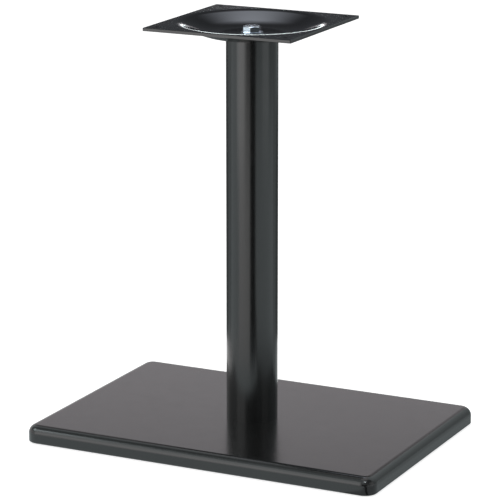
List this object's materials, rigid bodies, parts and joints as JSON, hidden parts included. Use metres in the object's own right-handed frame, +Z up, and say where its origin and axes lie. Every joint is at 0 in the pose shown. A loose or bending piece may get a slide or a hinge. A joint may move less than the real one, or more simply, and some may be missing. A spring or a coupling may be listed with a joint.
{
  "type": "pedestal table base",
  "caption": "Black pedestal table base: rectangular cast foot with a rounded edge, round steel column and a square top plate pressed into a dish round a hex bolt.",
  "frame": {"origin": "on the floor under the middle of the column, in the middle of the foot", "axes": "+Z up the column, +X along the long side of the foot, +Y along its short side"},
  "size_m": [0.655, 0.452, 0.726],
  "materials": {
    "cast_paint": "satin black powder coat",
    "column_paint": "satin black powder coat",
    "plate_paint": "satin black powder coat",
    "zinc": "bright zinc plate",
    "bare_steel": "bare machined steel",
    "pad_rubber": "matte black rubber"
  },
  "bodies": {
    "root": {"cast_base": "cast_paint", "column_tube": "column_paint", "column_foot_plug": "bare_steel", "column_head_plug": "bare_steel", "top_plate": "plate_paint", "head_washer": "zinc", "head_bolt": "zinc", "foot_washer": "zinc", "foot_spring_washer": "zinc", "foot_bolt": "zinc", "rubber_pad_1": "pad_rubber", "rubber_pad_2": "pad_rubber", "rubber_pad_3": "pad_rubber", "rubber_pad_4": "pad_rubber"}
  },
  "joints": []
}
